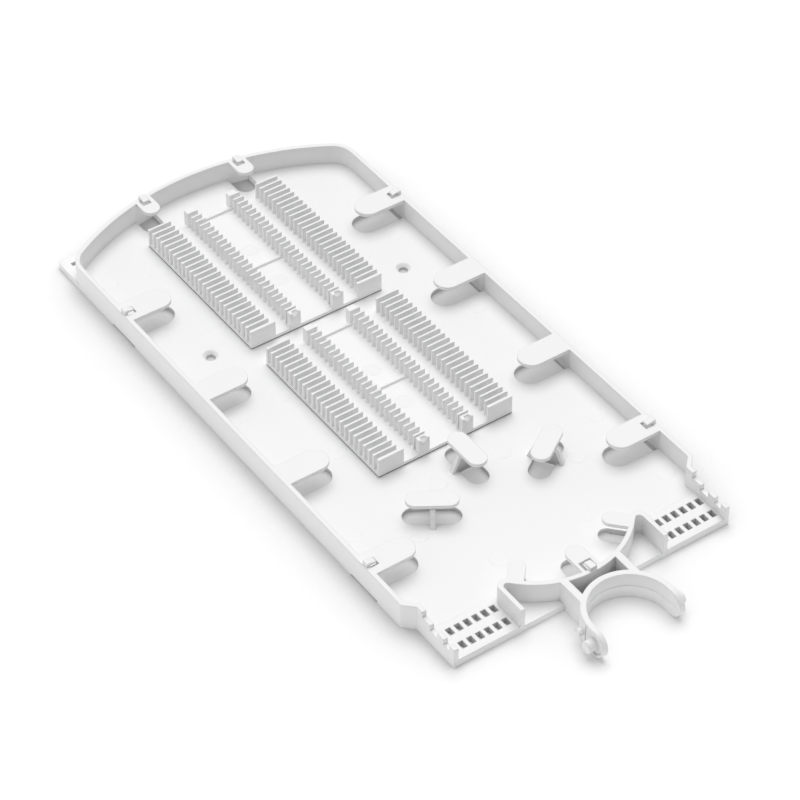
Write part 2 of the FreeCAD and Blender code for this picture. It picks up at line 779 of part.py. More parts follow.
        hole = new_sketch(self.body, "spool_opening_outline", "XY_Plane",
                          (0, centre, size["floor_top"]))
        stadium(hole, long + size["spool_end_gap"], half + size["spool_side_gap"])
        cut = pocket(self.body, hole, "spool_opening")
        bridge = new_sketch(self.body, "spool_bridge_profile", "XZ_Plane",
                            (0, 0, -(centre + radius)))
        foot = size["bridge_foot"]
        shoulder = size["bridge_shoulder"]
        bend = size["bridge_bend"]
        thick = size["bridge_leg"]
        base = size["recess_depth"]
        top = self.tab_bottom
        bevel = size["bridge_bevel"]
        outside = [
            (foot, base), (foot, size["floor_top"]), (shoulder, top - bend),
            (shoulder - bevel, top - bevel), (shoulder - bend, top),
        ]
        inside = [
            (shoulder - bend, top - thick), (shoulder - thick, top - bend),
            (foot - thick, size["floor_top"]), (foot - thick, base),
        ]
        add_loop(bridge, [
            *outside, *[(-x, z) for x, z in reversed(outside)],
            *[(-x, z) for x, z in reversed(inside)], *inside,
        ])
        arch = pad(self.body, bridge, "spool_bridge", size["bridge_thickness"], middle=True)
        plate = new_sketch(self.body, "spool_plate_outline", "XY_Plane",
                           (0, centre, self.tab_bottom))
        stadium(plate, long, half)
        cap = pad(self.body, plate, "spool_plate", size["tab_thickness"])
        pattern = self.body.newObject("PartDesign::PolarPattern", "spools")
        pattern.Originals = [cut, arch, cap]
        pattern.Axis = (plate, ["N_Axis"])
        pattern.Reversed = True
        pattern.Mode = "Spacing"
        pattern.Occurrences = 2
        bind(pattern, "Offset", size["spool_turn"])
        self.body.Tip = pattern

    def floor_holes(self):
        """Countersunk screw hole, flange slot and the holes for the holder pegs."""
        size = self.size
        slot = new_sketch(self.body, "flange_slot_outline", "XY_Plane", (0, 0, size["floor_top"]))
        half = size["flange_slot_width"] / 2
        depth = size["flange_slot_length"] / 2
        add_loop(slot, box_path(size["flange_slot_x"] - half, size["flange_slot_x"] + half,
                                size["flange_slot_y"] - depth, size["flange_slot_y"] + depth))
        pocket(self.body, slot, "flange_slot")
        pegs = new_sketch(self.body, "peg_hole_outline", "XY_Plane", (0, 0, size["floor_top"]))
        bore = size["peg_width"] / 2 + size["peg_clearance"]
        length = holder_length(size)
        for step in range(2):
            front = size["holder_front"] + size["holder_pitch"] * step
            for inset in (size["peg_inset"], length - size["peg_inset"]):
                middle = front + inset
                add_loop(pegs, box_path(0, bore, middle - bore, middle + bore))
        pocket(self.body, pegs, "peg_holes")
        screw = new_sketch(self.body, "screw_hole_outline", "XY_Plane", (0, 0, size["floor_top"]))
        add_circle(screw, size["screw_place_x"], size["screw_place_y"], size["screw_hole_radius"])
        self.body.Document.recompute()
        hole = self.body.newObject("PartDesign::Hole", "screw_hole")
        hole.Profile = screw
        hole.ThreadType = "None"
        hole.DepthType = "ThroughAll"
        hole.Diameter = as_number(size["screw_hole_radius"] * 2)
        bind(hole, "Diameter", size["screw_hole_radius"] * 2)
        hole.HoleCutType = "Countersink"
        hole.HoleCutCustomValues = True
        hole.HoleCutDiameter = as_number(size["screw_head_radius"] * 2)
        bind(hole, "HoleCutDiameter", size["screw_head_radius"] * 2)
        hole.HoleCutCountersinkAngle = as_number(size["screw_head_angle"])
        bind(hole, "HoleCutCountersinkAngle", size["screw_head_angle"])

    def build(self):
        """Make every feature in order and mirror the right half."""
        self.floor()
        self.floor_holes()
        self.underside()
        self.wall()
        self.entries()
        self.hinge_walls()
        self.hinge_ring()
        self.side_tabs()
        self.far_tab()
        self.hinge_tabs()
        self.spools()
        self.latches()
        self.stacking_notches()
        mirror_body(self.body, "both_halves")
        return self.body


def holder_length(size):
    """Length of a splice holder from its first to its last fin."""
    return size["fin_pitch"] * (size["fin_count"] - 1) + size["fin_inset"] * 2


class Holder:
    """A splice holder: four rows of fins on a base plate that stands on pegged feet."""

    def __init__(self, doc, size, name):
        self.size = size
        self.body = doc.addObject("PartDesign::Body", name)
        self.body.Label = name
        self.length = holder_length(size)
        self.half = size["holder_width"] / 2
        self.height = size["fin_top"] - size["base_thickness"]

    def sketch(self, name, y=0, z=0):
        """A level sketch at this Y and Z."""
        return new_sketch(self.body, name, "XY_Plane", (0, y, z))

    def base(self):
        """Base plate with its feet and pegs."""
        size = self.size
        sketch = self.sketch("base_outline")
        add_loop(sketch, box_path(-self.half, self.half, 0, self.length))
        pad(self.body, sketch, "base_plate", size["base_thickness"])
        feet = self.sketch("foot_outline")
        pegs = self.sketch("peg_outline")
        for spot in (size["peg_inset"], self.length - size["peg_inset"]):
            across = size["foot_width"] / 2
            along = size["foot_length"] / 2
            add_loop(feet, box_path(-across, across, spot - along, spot + along))
            half = size["peg_width"] / 2
            add_loop(pegs, box_path(-half, half, spot - half, spot + half))
        pad(self.body, feet, "feet", size["holder_lift"], reverse=True)
        pad(self.body, pegs, "pegs", size["holder_lift"] + size["peg_length"], reverse=True)

    def near_end(self):
        """End walls outside and scooped posts inside at the near end."""
        size = self.size
        left = size["inner_fin_inside"]
        right = size["inner_fin_outside"]
        walls = self.sketch("end_wall_outline", z=size["base_thickness"])
        add_pair(walls, box_path(size["end_wall_inside"], self.half, 0,
                                 size["end_wall_thickness"]))
        add_pair(walls, box_path(left, right, 0, size["post_thickness"]))
        pad(self.body, walls, "near_end", self.height)
        middle = (left + right) / 2
        half = size["scoop_width"] / 2
        inset = size["scoop_inset"]
        taper = size["scoop_taper"]
        scoops = self.sketch("scoop_outline", z=size["fin_top"])
        add_pair(scoops, [
            (middle - half, 0), (middle + half, 0), (middle + half - taper, inset),
            (middle + taper - half, inset),
        ])
        pocket(self.body, scoops, "post_scoops", size["scoop_depth"])

    def cross_ribs(self):
        """Low ribs across the base near the far end and at the middle."""
        size = self.size
        across = size["inner_fin_outside"]
        half = size["cross_rib_width"] / 2
        sketch = self.sketch("cross_rib_outline", z=size["base_thickness"])
        for spot in (self.length / 2, self.length - size["cross_rib_width"]):
            add_loop(sketch, box_path(-across, across, spot - half, spot + half))
        pad(self.body, sketch, "cross_ribs", size["cross_rib_height"])

    def lugs(self):
        """Far-end lugs behind the left edge of each inner row, overhanging the base."""
        size = self.size
        low = size["lug_lift"]
        start = self.length - size["fin_inset"]
        sketch = self.sketch("lug_outline", z=low)
        for left in (-size["inner_fin_outside"], size["inner_fin_inside"]):
            add_loop(sketch, box_path(left, left + size["lug_width"], start,
                                      self.length + size["lug_overhang"]))
        pad(self.body, sketch, "lugs", size["fin_top"] - low)

    def fins(self):
        """Outer fins that widen at the edge, inner fins, and the pattern that repeats them."""
        size = self.size
        thin = size["fin_thickness"] / 2
        wide = size["fin_end_width"] / 2
        neck = self.half - size["fin_end_length"]
        inside = size["outer_fin_inside"]
        sketch = self.sketch("fin_outline", size["fin_inset"] + size["fin_pitch"],
                             size["base_thickness"])
        add_pair(sketch, [
            (inside, -thin), (neck, -thin), (self.half, -wide), (self.half, wide),
            (neck, thin), (inside, thin),
        ])
        add_pair(sketch, box_path(size["inner_fin_inside"], size["inner_fin_outside"],
                                  -thin, thin))
        fins = pad(self.body, sketch, "fins", self.height)
        row(self.body, "fin_rows", [fins], "Y_Axis", size["fin_count"] - 1, size["fin_pitch"])

    def build(self, front):
        """Make the features and set the holder on the tray floor."""
        size = self.size
        self.base()
        self.near_end()
        self.cross_ribs()
        self.lugs()
        self.fins()
        bind(self.body, "Placement.Base.y", front - middle_of_box(size))
        bind(self.body, "Placement.Base.z", size["floor_top"] + size["holder_lift"])
        return self.body


def middle_of_box(size):
    """Y of the middle of the part between the hinge arms and the crown of the arch."""
    return (size["arch_crown"] - size["arm_end"]) / 2


def check_features(doc):
    """Stop if a feature failed or left the solid as it was."""
    for thing in doc.Objects:
        if "Invalid" in thing.State or "Error" in thing.State:
            raise RuntimeError(f"{thing.Name} failed: {thing.State}")
        base = getattr(thing, "BaseFeature", None)
        if not thing.isDerivedFrom("PartDesign::Feature") or base is None:
            continue
        if thing.isDerivedFrom("PartDesign::Body"):
            continue
        if abs(thing.Shape.Volume - base.Shape.Volume) < 1e-3:
            raise RuntimeError(f"{thing.Name} changed nothing")


def main():
    """Build the document, check it and write each body."""
    doc = FreeCAD.newDocument("splice_tray_part")
    size = fill_sheet(doc)
    bodies = []
    for step, name in enumerate(("splice_holder_front", "splice_holder_rear")):
        front = size["holder_front"] + size["holder_pitch"] * step
        bodies.append(Holder(doc, size, name).build(front))
    tray = Tray(doc, size).build()
    bind(tray, "Placement.Base.y", -middle_of_box(size))
    bodies.append(tray)
    doc.recompute()
    check_features(doc)
    os.makedirs("parts", exist_ok=True)
    for body in bodies:
        shape = body.Shape
        if shape.isNull() or not shape.isValid() or len(shape.Solids) != 1:
            raise RuntimeError(f"{body.Label} is not one valid solid")
        shape.exportStep(f"parts/{body.Label}.step")
        box = shape.BoundBox
        print(f"{body.Label}: {shape.Volume / 1000:.2f} cm3, "
              f"{box.XLength:.2f} x {box.YLength:.2f} x {box.ZLength:.2f} mm")


main()
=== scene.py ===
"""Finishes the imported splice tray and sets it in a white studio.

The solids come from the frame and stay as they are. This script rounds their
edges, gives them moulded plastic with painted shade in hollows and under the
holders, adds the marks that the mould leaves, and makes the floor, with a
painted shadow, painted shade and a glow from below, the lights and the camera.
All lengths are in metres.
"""
import math

import bmesh
import bpy
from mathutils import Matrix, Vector


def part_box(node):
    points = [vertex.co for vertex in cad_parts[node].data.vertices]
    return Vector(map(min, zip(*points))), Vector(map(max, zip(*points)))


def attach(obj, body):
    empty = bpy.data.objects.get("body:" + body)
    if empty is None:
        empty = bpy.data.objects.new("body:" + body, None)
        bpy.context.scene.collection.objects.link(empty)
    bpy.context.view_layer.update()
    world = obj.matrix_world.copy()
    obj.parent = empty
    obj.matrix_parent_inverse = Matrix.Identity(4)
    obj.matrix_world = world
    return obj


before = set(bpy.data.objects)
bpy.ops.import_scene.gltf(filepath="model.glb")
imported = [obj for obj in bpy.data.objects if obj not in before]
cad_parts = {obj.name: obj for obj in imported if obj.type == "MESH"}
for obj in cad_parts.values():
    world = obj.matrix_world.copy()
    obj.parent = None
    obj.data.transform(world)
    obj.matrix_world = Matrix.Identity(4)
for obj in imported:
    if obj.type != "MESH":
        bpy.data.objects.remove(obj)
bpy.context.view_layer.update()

bl_info = {
    "name": "Fibre splice tray",
    "version": (1, 0, 0),
    "blender": (4, 5, 0),
    "location": "3D View > Sidebar > Splice tray",
    "description": "Finishes the splice tray and sets it in a white studio",
    "category": "Object",
}

MM = 0.001
TRAY = "splice_tray"
HOLDERS = ("splice_holder_front", "splice_holder_rear")
FLOOR_TOP = 2.5 * MM
HOLDER_LIFT = 0.3 * MM
HOLDER_FLOOR = FLOOR_TOP + HOLDER_LIFT + 1.4 * MM
HOLDER_MIDDLE = 36.96 * MM
LUG_OVERHANG = 1.8 * MM
RING_CENTRE = (0.0, -140.0 * MM, 0.0)
RING_MIDDLE_HEIGHT = 5.6 * MM
RING_INNER_RADIUS = 15.6 * MM
WELD_REACH = 0.001 * MM
FLAT_ANGLE = math.radians(0.5)
PLASTIC_IOR = 1.49
NOISE_DETAIL = 2.0
NEAR_SAMPLES = 6
CONTACT_SAMPLES = 8
SENSOR_WIDTH = 36.0
BLACK = (0.0, 0.0, 0.0)

# Ejector marks on one half of the floor, in mm across and along
WALL_MARKS = ((54.0, 116.5), (54.0, 78.0), (54.0, 24.0), (54.0, -50.0), (55.8, -88.3))
LANE_MARKS = ((35.1, 111.4), (35.1, 74.1), (35.1, 25.0), (35.1, -12.0), (35.1, -63.4))
COIL_MARKS = ((14.4, -46.0), (18.5, -88.9))


class UnderTrayShade:
    """Outline of the painted shade on the floor under the tray, which lies just inside the tray's
    own.
    """

    side = 61.5 * MM
    front = -97.0 * MM
    entry_side = 59.0 * MM
    entry_front = -118.5 * MM
    arch_y = 34.7 * MM
    arch_radius = 95.0 * MM
    bay_y = -82.2 * MM
    bay_side = 33.0 * MM
    bay_radius = 36.5 * MM
    rib_side = 10.0 * MM
    rib_front = -127.0 * MM
    rib_back = -117.0 * MM
    ring_radius = 16.5 * MM


class Plastic(bpy.types.PropertyGroup):
    """Colours and surface of the two mouldings, with the shade painted into them."""

    tray_color: bpy.props.FloatVectorProperty(
        name="Tray colour", description="Colour of the tray's plastic",
        subtype="COLOR", min=0.0, max=1.0, default=(0.94, 0.94, 0.94))
    holder_color: bpy.props.FloatVectorProperty(
        name="Holder colour", description="Colour of the splice holders' plastic",
        subtype="COLOR", min=0.0, max=1.0, default=(0.965, 0.965, 0.965))
    shade_change: bpy.props.FloatProperty(
        name="Shade change", description="How much darker the plastic gets in places",
        subtype="FACTOR", min=0.0, max=0.2, default=0.02)
    flow_size: bpy.props.FloatProperty(
        name="Flow size", description="Size of the areas in which the shade changes",
        unit="LENGTH", min=0.001, default=60.0 * MM)
    # Painted shade: the colour gets darker in narrow hollows, by how near other surfaces are,
    # standing in for the shade that falls there.
    painted_hollow_reach: bpy.props.FloatProperty(
        name="Hollow reach", description="How near walls have to be to darken a hollow",
        unit="LENGTH", min=0.0, default=9.0 * MM)
    painted_hollow_shade: bpy.props.FloatProperty(
        name="Hollow shade", description="How much darker the tray is in narrow hollows",
        subtype="FACTOR", min=0.0, max=1.0, default=0.38)
    painted_hollow_power: bpy.props.FloatProperty(
        name="Hollow power", description="How sharply the shade of the hollows sets in",
        min=0.1, default=3.0)
    # Painted shade: a dark line on the tray's floor and the holders' lowest sides where they meet,
    # standing in for the shadow in the gap under each holder.
    painted_gap_shade_strength: bpy.props.FloatProperty(
        name="Seam shade", description="How dark the seam under the splice holders is",
        subtype="FACTOR", min=0.0, max=1.0, default=0.62)
    seam_margin: bpy.props.FloatProperty(
        name="Seam margin", description="How far the seam's shade shows beside the holders",
        unit="LENGTH", min=0.0, default=0.06 * MM)
    painted_gap_shade_depth: bpy.props.FloatProperty(
        name="Seam depth", description="How far below the tray's floor the seam's shade starts",
        unit="LENGTH", min=0.0, default=0.1 * MM)
    painted_gap_shade_height: bpy.props.FloatProperty(
        name="Seam height", description="How far the seam's shade climbs the holders' sides",
        unit="LENGTH", min=0.0, default=0.12 * MM)
    roughness: bpy.props.FloatProperty(
        name="Roughness", description="Mean roughness of the moulded surface",
        subtype="FACTOR", min=0.0, max=1.0, default=0.46)
    flow_roughness: bpy.props.FloatProperty(
        name="Flow roughness", description="How much the roughness changes with the shade",
        subtype="FACTOR", min=0.0, max=0.5, default=0.08)
    grain_roughness: bpy.props.FloatProperty(
        name="Grain roughness", description="How much the roughness changes with the grain",
        subtype="FACTOR", min=0.0, max=0.5, default=0.06)
    grain_size: bpy.props.FloatProperty(
        name="Grain size", description="Size of the fine grain left by the mould",
        unit="LENGTH", min=0.0001, default=0.5 * MM)
    grain_depth: bpy.props.FloatProperty(
        name="Grain depth", description="Depth of the fine grain",
        unit="LENGTH", min=0.0, default=0.006 * MM)


class Edges(bpy.types.PropertyGroup):
    """Small radius that the mould gives every edge."""

    tray_radius: bpy.props.FloatProperty(
        name="Tray edge radius", description="Radius of the tray's edges",
        unit="LENGTH", min=0.0, default=0.35 * MM)
    holder_radius: bpy.props.FloatProperty(
        name="Holder edge radius", description="Radius of the splice holders' edges",
        unit="LENGTH", min=0.0, default=0.16 * MM)
    tray_softness: bpy.props.FloatProperty(
        name="Tray edge softness", description="Width over which the tray's edges catch light",
        unit="LENGTH", min=0.0, default=0.5 * MM)
    holder_softness: bpy.props.FloatProperty(
        name="Holder edge softness", description="Width over which the holders' edges catch light",
        unit="LENGTH", min=0.0, default=0.2 * MM)
    steps: bpy.props.IntProperty(
        name="Edge steps", description="Faces across each rounded edge", min=1, max=4, default=2)
    sharp_angle: bpy.props.FloatProperty(
        name="Sharp angle", description="Edges flatter than this stay as they are",
        subtype="ANGLE", min=0.0, default=math.radians(35))


class Marks(bpy.types.PropertyGroup):
    """Marks that the mould leaves on the plastic."""

    ejector_radius: bpy.props.FloatProperty(
        name="Ejector radius", description="Radius of the round ejector pin marks",
        unit="LENGTH", min=0.0, default=3.6 * MM)
    ejector_height: bpy.props.FloatProperty(
        name="Ejector height", description="How far the ejector pin marks stand up",
        unit="LENGTH", min=0.0, default=0.1 * MM)
    ejector_slope: bpy.props.FloatProperty(
        name="Ejector slope", description="Width of the sloping rim of each mark",
        unit="LENGTH", min=0.0, default=0.3 * MM)
    holder_mark_place: bpy.props.FloatProperty(
        name="Holder mark place", description="From a holder's middle rib to its ejector marks",
        unit="LENGTH", default=10.7 * MM)
    ledge_height: bpy.props.FloatProperty(
        name="Ledge height", description="Height of the parting ledge's steep underside",
        unit="LENGTH", min=0.0, default=2.0 * MM)
    ledge_depth: bpy.props.FloatProperty(
        name="Ledge depth", description="How far the parting ledge stands out of the ring",
        unit="LENGTH", min=0.0, default=0.35 * MM)
    ledge_arm: bpy.props.FloatProperty(
        name="Ledge arm", description="How far the parting ledge runs straight along each arm",
        unit="LENGTH", min=0.0, default=5.0 * MM)


class Webs(bpy.types.PropertyGroup):
    """Thin wall inside the bridge of each storage spool."""

    thickness: bpy.props.FloatProperty(
        name="Web thickness", description="Thickness of the wall", unit="LENGTH", min=0.0,
        default=1.0 * MM)
    bottom: bpy.props.FloatProperty(
        name="Web bottom", description="Height of the wall's lower edge", unit="LENGTH",
        default=1.3 * MM)
    foot: bpy.props.FloatProperty(
        name="Web foot", description="From the wall's middle to its side at the floor",
        unit="LENGTH", min=0.0, default=6.2 * MM)
    shoulder: bpy.props.FloatProperty(
        name="Web shoulder", description="From the wall's middle to its side at the shoulder",
        unit="LENGTH", min=0.0, default=4.2 * MM)
    shoulder_height: bpy.props.FloatProperty(
        name="Shoulder height", description="Height of the wall's shoulder",
        unit="LENGTH", default=7.8 * MM)
    top: bpy.props.FloatProperty(
        name="Web top", description="From the wall's middle to its side at the top",
        unit="LENGTH", min=0.0, default=3.2 * MM)
    top_height: bpy.props.FloatProperty(
        name="Top height", description="Height of the wall's top, within the bridge",
        unit="LENGTH", default=9.0 * MM)
    # Painted shade: the webs' colour is darkened under their plates, standing in for the shade
    # that falls there.
    shade: bpy.props.FloatProperty(
        name="Web shade", description="How much darker the wall is under its plate",
        subtype="FACTOR", min=0.0, max=1.0, default=0.75)
    circle_centre: bpy.props.FloatProperty(
        name="Circle centre", description="Y of the middle of the spools' circle",
        unit="LENGTH", default=-74.6 * MM)
    circle_radius: bpy.props.FloatProperty(
        name="Circle radius", description="From the circle's middle to the spools' middles",
        unit="LENGTH", min=0.0, default=30.2 * MM)
    turn: bpy.props.FloatProperty(
        name="Turn", description="Angle between one spool and the next", subtype="ANGLE",
        default=math.radians(57))


class Details(bpy.types.PropertyGroup):
    """Small forms on the splice holders."""

    post_place: bpy.props.FloatProperty(
        name="Post place", description="From the middle of a holder to the middle of its posts",
        unit="LENGTH", default=9.75 * MM)
    saddle_width: bpy.props.FloatProperty(
        name="Saddle width", description="Width of the groove in the top of each post",
        unit="LENGTH", min=0.0, default=3.28 * MM)
    saddle_length: bpy.props.FloatProperty(
        name="Saddle length", description="How far the groove runs back from the front",
        unit="LENGTH", min=0.0, default=1.7 * MM)
    saddle_bottom: bpy.props.FloatProperty(
        name="Saddle bottom", description="From the top of a post to the bottom of its saddle",
        unit="LENGTH", min=0.0, default=2.6 * MM)
    saddle_inset: bpy.props.FloatProperty(
        name="Saddle inset", description="From the front of a post to its saddle",
        unit="LENGTH", min=0.0, default=0.03 * MM)
    saddle_front_dip: bpy.props.FloatProperty(
        name="Front dip", description="Depth of the groove at its front end",
        unit="LENGTH", min=0.0, default=1.6 * MM)
    saddle_back_dip: bpy.props.FloatProperty(
        name="Back dip", description="Depth of the groove at its back end",
        unit="LENGTH", min=0.0, default=0.25 * MM)
    rib_width: bpy.props.FloatProperty(
        name="Rib width", description="Width of the cross ribs on the holders' base",
        unit="LENGTH", min=0.0, default=1.1 * MM)
    rib_height: bpy.props.FloatProperty(
        name="Rib height", description="Height of the cross ribs above the base",
        unit="LENGTH", min=0.0, default=1.0 * MM)
    rib_reach: bpy.props.FloatProperty(
        name="Rib reach", description="From the middle of a holder to the ends of its ribs",
        unit="LENGTH", min=0.0, default=12.1 * MM)


class Studio(bpy.types.PropertyGroup):
    """Camera, lamps and floor."""

    azimuth: bpy.props.FloatProperty(
        name="Azimuth", description="Direction that the camera looks from",
        subtype="ANGLE", default=math.radians(-34.99))
    elevation: bpy.props.FloatProperty(
        name="Elevation", description="Height of the camera as an angle",
        subtype="ANGLE", default=math.radians(42.95))
    distance: bpy.props.FloatProperty(
        name="Distance", description="From the camera to the point that it looks at",
        unit="LENGTH", default=1.1124)
    aim: bpy.props.FloatVectorProperty(
        name="Aim", description="Point that the camera looks at",
        subtype="TRANSLATION", unit="LENGTH", default=(1.53 * MM, 0.07 * MM, 0.0))
    lens: bpy.props.FloatProperty(
        name="Lens", description="Focal length for a 36 mm sensor", default=134.865)
    sky: bpy.props.FloatProperty(
        name="Sky", description="Strength of the soft light from all round", default=0.7)
    sky_front: bpy.props.FloatProperty(
        name="Front sky", description="Share of the sky light that comes from low in front",
        subtype="FACTOR", min=0.0, max=1.0, default=0.4)
    sky_left: bpy.props.FloatProperty(
        name="Left sky", description="Light that is added low on the left, as a share of the sky",
        subtype="FACTOR", min=0.0, max=1.0, default=0.15)
    key: bpy.props.FloatProperty(
        name="Key light", description="Strength of the broad light from above", default=1.5)
    key_azimuth: bpy.props.FloatProperty(
        name="Key azimuth", description="Direction that the key light comes from",
        subtype="ANGLE", default=math.radians(145))
    key_elevation: bpy.props.FloatProperty(
        name="Key elevation", description="Height of the key light as an angle",
        subtype="ANGLE", default=math.radians(70))
    key_spread: bpy.props.FloatProperty(
        name="Key spread", description="Angle that the key light covers",
        subtype="ANGLE", default=math.radians(50))
    floor_size: bpy.props.FloatProperty(
        name="Floor size", description="From the middle of the floor to its sides",
        unit="LENGTH", min=1.0, default=6.0)
    floor_color: bpy.props.FloatVectorProperty(
        name="Floor colour", description="Colour of the floor and the backdrop",
        subtype="COLOR", min=0.0, max=1.0, default=(0.9, 0.9, 0.9))
    floor_lift: bpy.props.FloatProperty(
        name="Floor lift", description="Glow that only the camera and reflections see",
        default=0.18)
    # Painted shadow: the camera and reflections see the floor darker near the tray, standing in
    # for its contact shadow.
    painted_contact_reach: bpy.props.FloatProperty(
        name="Contact reach", description="How far the contact shadow spreads on the floor",
        unit="LENGTH", min=0.0, default=35.0 * MM)
    painted_contact_depth: bpy.props.FloatProperty(
        name="Contact depth", description="How much of the floor's light the contact takes",
        subtype="FACTOR", min=0.0, max=1.0, default=0.76)
    # Painted shadow: these weaken the painted contact shadow round the hinge ring.
    ring_relief: bpy.props.FloatProperty(
        name="Ring relief", description="Share of the contact shadow that is left out at the ring",
        subtype="FACTOR", min=0.0, max=1.0, default=0.75)
    ring_reach: bpy.props.FloatProperty(
        name="Ring reach", description="How far round the ring the contact shadow is weaker",
        unit="LENGTH", min=0.001, default=60.0 * MM)
    # Painted light: the floor glows for every ray but the camera's, so it lights the tray from
    # below though it is no lamp.
    floor_up_glow: bpy.props.FloatProperty(
        name="Floor bounce", description="Light that the white floor adds from below",
        default=0.18)
    # Painted shade: the floor under the tray gets a dark colour and its own glow, standing in for
    # the shade seen through the tray's openings.
    under_tray_shade_color: bpy.props.FloatVectorProperty(
        name="Shade colour", description="Colour of the floor that the tray covers",
        subtype="COLOR", min=0.0, max=1.0, default=(0.45, 0.45, 0.45))
    under_tray_shade_lift: bpy.props.FloatProperty(
        name="Shade lift", description="Glow of the floor that the tray covers",
        default=0.27)


class Wire:
    """A shader value that can be used in sums and products."""

    def __init__(self, shader, socket):
        self.shader = shader
        self.socket = socket

    def combine(self, operation, first, second):
        return self.shader.node("ShaderNodeMath", {"operation": operation}, {0: first, 1: second})

    def __add__(self, other):
        return self.combine("ADD", self, other)

    def __radd__(self, other):
        return self.combine("ADD", other, self)

    def __sub__(self, other):
        return self.combine("SUBTRACT", self, other)

    def __rsub__(self, other):
        return self.combine("SUBTRACT", other, self)

    def __mul__(self, other):
        return self.combine("MULTIPLY", self, other)

    def __rmul__(self, other):
        return self.combine("MULTIPLY", other, self)

    def size(self):
        """The value without its sign."""
        return self.combine("ABSOLUTE", self, 0.0)

    def below(self, limit):
        """1 where the value is under the limit, and 0 elsewhere."""
        return self.combine("LESS_THAN", self, limit)

    def above(self, limit):
        """1 where the value is over the limit, and 0 elsewhere."""
        return self.combine("GREATER_THAN", self, limit)

    def power(self, exponent):
        """The value raised to a power."""
        return self.combine("POWER", self, exponent)

    def either(self, other):
        """The larger of two values."""
        return self.combine("MAXIMUM", self, other)


class Shader:
    """A material or world whose nodes are made in the order they are needed."""

    def __init__(self, owner):
        owner.use_nodes = True
        self.tree = owner.node_tree
        self.tree.nodes.clear()

    def node(self, kind, settings, inputs, output=0):
        """Add a node, set it up, connect its inputs and give back one output."""
        made = self.tree.nodes.new(kind)
        for name, value in settings.items():
            setattr(made, name, value)
        for name, value in inputs.items():
            if isinstance(value, Wire):
                self.tree.links.new(value.socket, made.inputs[name])
            else:
                made.inputs[name].default_value = value
        return Wire(self, made.outputs[output]) if len(made.outputs) else made

    def tint(self, first, second, amount):
        """Mix two colours by a number."""
        return self.node("ShaderNodeMix", {"data_type": "RGBA"},
                         {0: amount, 6: first, 7: second}, 2)

    def split(self, place, axis):
        """One coordinate of a place."""
        return self.node("ShaderNodeSeparateXYZ", {}, {0: place}, axis)

    def reach(self, place, centre):
        """Distance from a centre, in the plane of the floor."""
        return self.node("ShaderNodeVectorMath", {"operation": "DISTANCE"},
                         {0: place, 1: centre}, "Value")

    def noise(self, place, size):
        """Even noise with features of this size, from 0 to 1."""
        return self.node("ShaderNodeTexNoise", {"noise_dimensions": "3D"},
                         {"Vector": place, "Scale": 1.0 / size, "Detail": NOISE_DETAIL})


def opaque(color):
    """The colour with full alpha."""
    return (*color, 1.0)


def darker(color, amount):
    """The colour with this share of its light taken away."""
    return tuple(part * (1.0 - amount) for part in color)


def holder_gap_shade_mask(shader, place, margin, low, high):
    """1 within a height range and the outline of a splice holder, where the gap's shade is
    painted, and 0 elsewhere.
    """
    height = shader.split(place, "Z")
    within = 0.0
    for name in HOLDERS:
        near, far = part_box(name)
        far_edge = far[1] - LUG_OVERHANG + margin
        across = shader.split(place, "X").size().below(far[0] + margin)
        along = shader.split(place, "Y")
        within = across * along.above(near[1] - margin) * along.below(far_edge) + within
    return within * height.above(low) * height.below(high)


def moulded_plastic(name, color, softness, painted_hollow_shade, painted_hollow_power, plastic):
    """Satin moulded plastic with a fine grain, painted shade in hollows and a painted dark line of
    shade where the holders rest.
    """
    material = bpy.data.materials.new(name)
    shader = Shader(material)
    place = shader.node("ShaderNodeTexCoord", {}, {}, "Object")
    flow = shader.noise(place, plastic.flow_size)
    grain = shader.noise(place, plastic.grain_size)
    clean = shader.tint(opaque(color), opaque(darker(color, plastic.shade_change)), flow)
    # Painted shade: the colour is darkened where the holders meet the tray's floor, as the gap
    # under them would be in shadow.
    painted_gap_shade = holder_gap_shade_mask(shader, place, plastic.seam_margin, FLOOR_TOP - plastic.painted_gap_shade_depth,
                         FLOOR_TOP + HOLDER_LIFT + plastic.painted_gap_shade_height)
    base = shader.tint(clean, opaque(darker(color, plastic.painted_gap_shade_strength)), painted_gap_shade)
    # Painted shade in hollows: the colour is darkened where other surfaces are near.
    if painted_hollow_shade > 0.0:
        near = 1.0 - shader.node("ShaderNodeAmbientOcclusion", {"samples": NEAR_SAMPLES},
                                 {"Distance": plastic.painted_hollow_reach}, "AO")
        base = shader.tint(base, opaque(darker(color, painted_hollow_shade)), near.power(painted_hollow_power))
    roughness = plastic.roughness + plastic.flow_roughness * (flow - 0.5)
    roughness = roughness + plastic.grain_roughness * (grain - 0.5)
    rounded = shader.node("ShaderNodeBevel", {"samples": NEAR_SAMPLES}, {"Radius": softness})
    bump = shader.node("ShaderNodeBump", {}, {
        "Strength": 1.0, "Distance": plastic.grain_depth, "Height": grain, "Normal": rounded})
    surface = shader.node("ShaderNodeBsdfPrincipled", {}, {
        "Base Color": base, "Roughness": roughness, "Normal": bump, "IOR": PLASTIC_IOR})
    shader.node("ShaderNodeOutputMaterial", {}, {"Surface": surface})
    material.diffuse_color = opaque(color)
    return material


def paint(piece, material):
    """Make this the only material of a piece."""
    piece.data.materials.clear()
    piece.data.materials.append(material)


